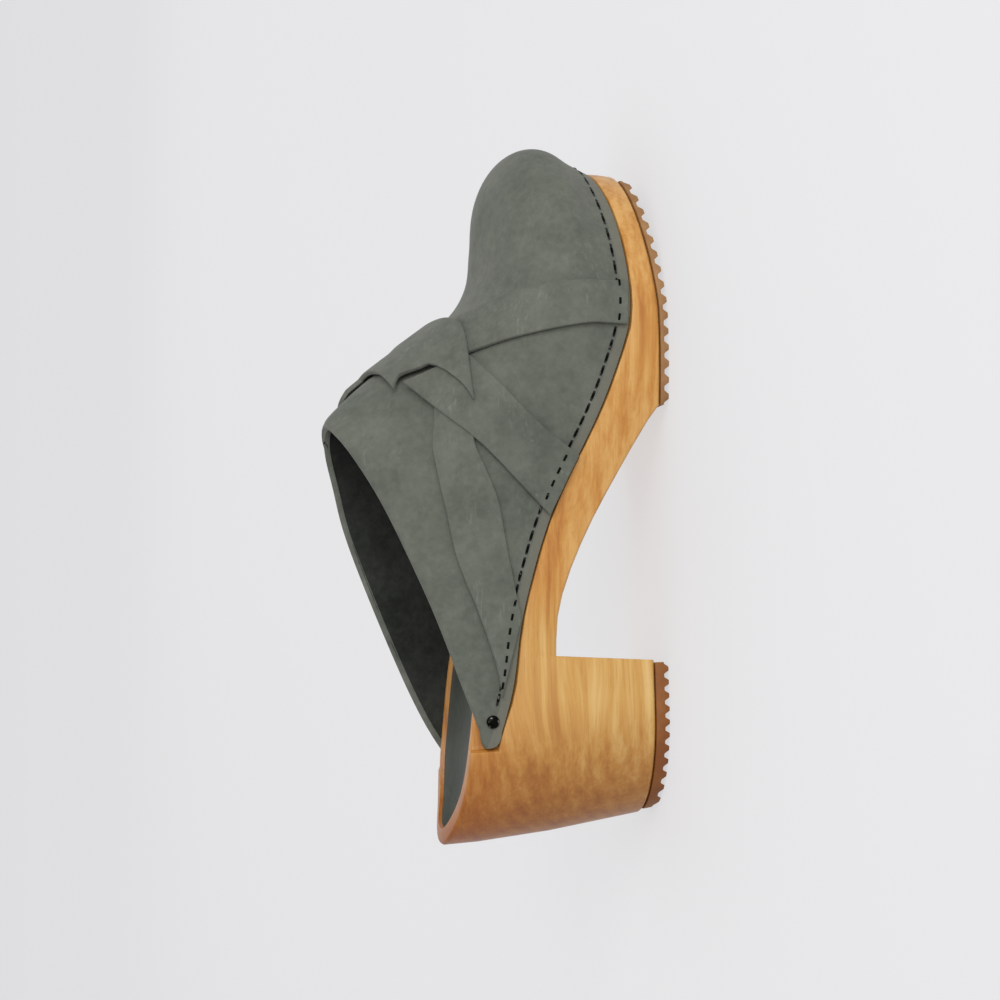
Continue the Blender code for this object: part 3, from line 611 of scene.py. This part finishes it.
def point_at(points, lengths, run):
    k = 0
    while k < len(points) - 2 and lengths[k + 1] < run:
        k += 1
    share = (run - lengths[k]) / (lengths[k + 1] - lengths[k])
    return points[k].lerp(points[k + 1], share), (points[k + 1] - points[k]).normalized()


def staple_runs(points, lengths):
    """How far along the edge each staple stands: further apart around the toe than at the sides."""
    runs = [STAPLE_START]
    while runs[-1] < lengths[-1] - STAPLE_START:
        ahead = point_at(points, lengths, runs[-1])[0].x - TOE_STAPLES_FROM
        share = min(max(ahead / 0.02 + 1, 0), 1)
        runs.append(runs[-1] + STAPLE_PITCH + (TOE_STAPLE_PITCH - STAPLE_PITCH) * share)
    return runs[:-1]


def staples_before(runs, run):
    """How many staples stand before this place on the edge, or half a step beyond the first or last one."""
    k = min(max(bisect_right(runs, run) - 1, 0), len(runs) - 2)
    steps = k + (run - runs[k]) / (runs[k + 1] - runs[k])
    return min(max(steps, -0.5), len(runs) - 0.5)


edge_points, edge_lengths = lower_run(upper)
edge_staples = staple_runs(edge_points, edge_lengths)
edge_tree = KDTree(len(edge_points))
for k, point in enumerate(edge_points):
    edge_tree.insert(point, k)
edge_tree.balance()
edge_map = upper.data.uv_layers.new(name="edge_run")
run_of = []
for vertex in upper.data.vertices:
    place, k, gap = edge_tree.find(vertex.co)
    along = (edge_points[min(k + 1, len(edge_points) - 1)] - edge_points[max(k - 1, 0)]).normalized()
    offset = vertex.co - place
    step = offset.dot(along)
    across_edge = math.sqrt(max(0.0, gap * gap - step * step))
    run_of.append((staples_before(edge_staples, edge_lengths[k] + step), across_edge))
for loop in upper.data.loops:
    edge_map.data[loop.index].uv = run_of[loop.vertex_index]

leather_tree = BVHTree.FromPolygons(
    [v.co.copy() for v in upper.data.vertices], [tuple(f.vertices) for f in upper.data.polygons]
)
nubuck = leather("nubuck", LEATHER_DARK, LEATHER_PALE, 0.80, 0.10, dents=staple_dents)
raw_edge = leather("raw_edge", EDGE_DARK, EDGE_PALE, 0.85, 0.0)
# The inside of the upper: flesh-side leather, its colour partly painted shade.
flesh_and_shade = leather("flesh_side_and_shade", FLESH_AND_SHADE_DARK, FLESH_AND_SHADE_PALE, 0.95, 0.0, relief=0.0003)
for material in (nubuck, flesh_and_shade, raw_edge):
    upper.data.materials.append(material)
for polygon in upper.data.polygons:
    polygon.material_index = 0
modify(
    upper, "SOLIDIFY", thickness=LEATHER_WALL, offset=-1, use_rim=True, use_even_offset=False,
    material_offset=1, material_offset_rim=2,
)
modify(upper, "BEVEL", width=0.0003, segments=2, limit_method="ANGLE", angle_limit=math.radians(50))
smooth(upper, 60)
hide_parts("upper")
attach(upper, "root")


# Straps: flat bands of the same nubuck, about 18 mm wide and 2 mm thick, with raw edges. They lie on the
# upper, one end under the knot and the other caught by the staples at the sole.
STRAP_ROUNDING = 0.00035
STRAP_WALL = 0.0019
WAIST_LIFT = 0.0021
WAIST_CLIMB = 0.0018
strap_leather = leather("strap_nubuck", LEATHER_DARK, LEATHER_PALE, 0.80, 0.16)
WAIST_STRAP = (
    # rear edge, front edge, in whole millimetres, from the sole up to the knot
    ((76, -33, 42), (96, -37, 32)),
    ((87, -36, 53), (105, -39, 44)),
    ((101, -35, 66), (113, -39, 52)),
    ((113, -29, 79), (120, -38, 58)),
    ((122, -21, 88), (131, -32, 68)),
)


def on_leather(place):
    """The nearest point of the leather's outer face, and the outward direction there."""
    return leather_tree.find_nearest(place)[:2]


def ease(share):
    share = min(max(share, 0.0), 1.0)
    return share * share * (3 - 2 * share)


def through(points, share):
    """The point at a share of the way along a smooth line through the points."""
    k = min(int(share * (len(points) - 1)), len(points) - 2)
    t = share * (len(points) - 1) - k
    a, b, c, d = points[max(k - 1, 0)], points[k], points[k + 1], points[min(k + 2, len(points) - 1)]
    square = 2 * a - 5 * b + 4 * c - d
    cube = 3 * b - a - 3 * c + d
    return 0.5 * (2 * b + (c - a) * t + square * t ** 2 + cube * t ** 3)


def round_edges(piece):
    modify(
        piece, "BEVEL", width=STRAP_ROUNDING, segments=2, limit_method="ANGLE", angle_limit=math.radians(50)
    )
    modify(piece, "SUBSURF", levels=1, render_levels=1)
    smooth(piece, 50)


def laid_leather(name, rows, steps, rise):
    """A sheet laid over the upper: rows of points across it, and how far it stands off the leather."""
    bpy.ops.object.select_all(action="DESELECT")
    bpy.ops.mesh.primitive_grid_add(x_subdivisions=steps[0], y_subdivisions=steps[1], size=2)
    piece = bpy.context.object
    piece.name = name
    lines = [[Vector(point) * 0.001 for point in row] for row in rows]
    for vertex in piece.data.vertices:
        along, across = (vertex.co.x + 1) / 2, (vertex.co.y + 1) / 2
        place = through([through(line, across) for line in lines], along)
        spot, outward = on_leather(place)
        vertex.co = spot + outward * rise(along, across)
    piece.data.update()
    middle = piece.data.polygons[len(piece.data.polygons) // 2]
    if middle.normal.dot(on_leather(middle.center)[1]) < 0:
        bpy.ops.object.mode_set(mode="EDIT")
        bpy.ops.mesh.select_all(action="SELECT")
        bpy.ops.mesh.flip_normals()
        bpy.ops.object.mode_set(mode="OBJECT")
    piece.data.materials.append(strap_leather)
    piece.data.materials.append(raw_edge)
    modify(
        piece, "SOLIDIFY", thickness=STRAP_WALL, offset=-1, use_rim=True, use_even_offset=False,
        material_offset_rim=1,
    )
    round_edges(piece)
    return piece


def waist_rise(along, across):
    """The rear part of the waist strap climbs over the collar strap on its way to the knot."""
    return WAIST_LIFT + WAIST_CLIMB * ease((along - 0.3) / 0.4) * (1 - across)


waist_band = laid_leather("band_waist", WAIST_STRAP, (30, 8), waist_rise)
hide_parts("strap_waist")
bands = [waist_band]
for name in ("strap_ball", "strap_collar", "strap_inner"):
    strap = refined_copy(name, name.replace("strap", "band"), 60)
    round_edges(strap)
    strap.data.materials.append(strap_leather)
    strap.data.materials.append(raw_edge)
    for polygon in strap.data.polygons:
        outward = on_leather(polygon.center)[1]
        polygon.material_index = 1 if abs(polygon.normal.dot(outward)) < 0.45 else 0
    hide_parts(name)
    bands.append(strap)
for strap in bands:
    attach(strap, "root")


# Knot: one folded piece of the same nubuck over the instep. Its rear end is a loop that stands off the
# collar, and its front part lies over the ball strap and ends in a point on the waist strap.
KNOT_LIFT = 0.0028
KNOT_FRONT_LIFT = 0.0006
KNOT_FAR_EDGE_DROP = 0.0014
KNOT_CLIMB = 0.0014
KNOT = (
    # points in millimetres from the far side of the instep's crest to the knot's lower edge, rear row first
    ((121.5, 16.0, 96.5), (124.2, 10.0, 99.2), (127.2, 3.7, 97.7), (126.4, -7.6, 95.0), (123.6, -13.5, 92.9),
     (119.5, -19.2, 90.7)),
    ((126.0, 16.0, 91.5), (129.0, 10.0, 94.0), (130.2, 3.8, 94.8), (128.9, -7.0, 92.3), (126.8, -13.0, 90.6),
     (123.9, -18.3, 88.6)),
    ((130.0, 16.0, 86.5), (133.0, 10.0, 89.5), (134.0, 3.8, 89.3), (132.0, -7.5, 87.5), (129.5, -15.5, 85.0),
     (126.2, -23.1, 81.7)),
    ((133.0, 16.0, 82.5), (136.0, 9.5, 85.2), (137.0, 3.5, 84.6), (134.8, -9.0, 83.0), (131.5, -17.5, 80.8),
     (126.7, -25.5, 78.2)),
    ((136.0, 15.5, 79.0), (139.0, 9.0, 81.5), (139.8, 3.0, 81.0), (137.7, -9.5, 79.3), (134.2, -18.8, 76.8),
     (124.8, -29.3, 74.6)),
    ((138.5, 15.0, 75.5), (141.5, 8.5, 78.0), (142.2, 2.5, 77.8), (140.6, -13.5, 74.0), (134.5, -25.5, 70.8),
     (120.0, -33.4, 69.6)),
    ((141.0, 14.5, 72.5), (143.2, 8.0, 75.2), (143.4, 1.8, 75.6), (142.6, -18.0, 69.0), (136.5, -28.6, 66.6),
     (114.8, -35.0, 66.6)),
)


def knot_rise(along, across):
    """The front part stands prouder than the loop but for its far edge, and both climb the waist strap."""
    front = ease((along - 0.34) / 0.14)
    settled = KNOT_FAR_EDGE_DROP * front * (1 - ease(across / 0.30))
    return KNOT_LIFT + KNOT_FRONT_LIFT * front - settled + KNOT_CLIMB * ease((across - 0.35) / 0.5)


knot = laid_leather("knot_over", KNOT, (26, 26), knot_rise)
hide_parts("knot_loop", "knot_band")
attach(knot, "root")


# Staples: flat steel wire staples, driven through the straps and the leather into the wood all along the
# lower edge, with their crowns pressed in and blackened.
STAPLE_WIDTH = 0.0008
STAPLE_THICKNESS = 0.0005
STAPLE_LEG = 0.0008
STAPLE_PROUD = 0.00005
STRAP_SEARCH = 0.008
cover_points, cover_faces = [], []
for strap in bands:
    first = len(cover_points)
    cover_points += [v.co.copy() for v in strap.data.vertices]
    cover_faces += [tuple(first + v for v in f.vertices) for f in strap.data.polygons]
cover_tree = BVHTree.FromPolygons(cover_points, cover_faces)

bpy.ops.object.select_all(action="DESELECT")
bpy.ops.mesh.primitive_cube_add(size=1)
staple = bpy.context.object
staple.scale = (STAPLE_LENGTH, STAPLE_WIDTH, STAPLE_THICKNESS)
bpy.ops.object.transform_apply(location=False, rotation=False, scale=True)
bpy.ops.object.mode_set(mode="EDIT")
bpy.ops.mesh.select_mode(type="EDGE")
bpy.ops.mesh.select_all(action="DESELECT")
shape = bmesh.from_edit_mesh(staple.data)
for edge in shape.edges:
    edge.select = abs(edge.verts[0].co.x - edge.verts[1].co.x) > 0.5 * STAPLE_LENGTH
bmesh.update_edit_mesh(staple.data)
bpy.ops.mesh.subdivide(number_cuts=5)
bpy.ops.mesh.select_all(action="DESELECT")
bpy.ops.mesh.select_mode(type="VERT")
shape = bmesh.from_edit_mesh(staple.data)
for vertex in shape.verts:
    vertex.select = abs(vertex.co.x) > 0.45 * STAPLE_LENGTH
bmesh.update_edit_mesh(staple.data)
bpy.ops.transform.translate(value=(0, 0, -STAPLE_LEG))
bpy.ops.object.mode_set(mode="OBJECT")
modify(staple, "BEVEL", width=0.00015, segments=1, limit_method="ANGLE", angle_limit=math.radians(40))

steel, tree, shader = new_material("blackened_steel", 0.34)
shader.inputs["Metallic"].default_value = 1.0
spots = noise_of(tree, scaled_coordinates(tree, (700, 700, 700)), 1.0, 3.0, 0.6)
tree.links.new(
    ramp_of(tree, spots, (0.60, (0.006, 0.006, 0.005, 1)), (0.78, (0.30, 0.29, 0.27, 1))),
    shader.inputs["Base Color"],
)

row = bmesh.new()
for run in edge_staples:
    place, along = point_at(edge_points, edge_lengths, run)
    spot, outward = on_leather(place)
    upward = outward.cross(along)
    if upward.z < 0:
        upward = -upward
    spot, outward = on_leather(place + upward * STAPLE_RISE)
    upward = outward.cross(along).normalized()
    along = upward.cross(outward).normalized()
    from_outside = spot + outward * STRAP_SEARCH
    spot = cover_tree.ray_cast(from_outside, -outward, STRAP_SEARCH + STAPLE_THICKNESS)[0] or spot
    turn = Matrix((along, upward, outward)).transposed().to_4x4()
    first = len(row.verts)
    row.from_mesh(staple.data)
    row.verts.ensure_lookup_table()
    for vertex in row.verts[first:]:
        vertex.co = Matrix.Translation(spot + outward * STAPLE_PROUD) @ turn @ vertex.co
staples = bpy.data.objects.new("staples", bpy.data.meshes.new("staples"))
scene.collection.objects.link(staples)
row.to_mesh(staples.data)
row.free()
bpy.data.objects.remove(staple)
staples.data.materials.append(steel)
smooth(staples, 40)
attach(staples, "root")


# Nails: one domed steel nail at each back end of the upper, where the pull on the leather is strongest. They
# are the same blackened steel as the staples.
for name in ("nail_outer", "nail_inner"):
    nail = refined_copy(name, name + "_head")
    modify(nail, "SUBSURF", levels=2, render_levels=2)
    smooth(nail, 50)
    nail.data.materials.append(steel)
    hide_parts(name)
    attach(nail, "root")
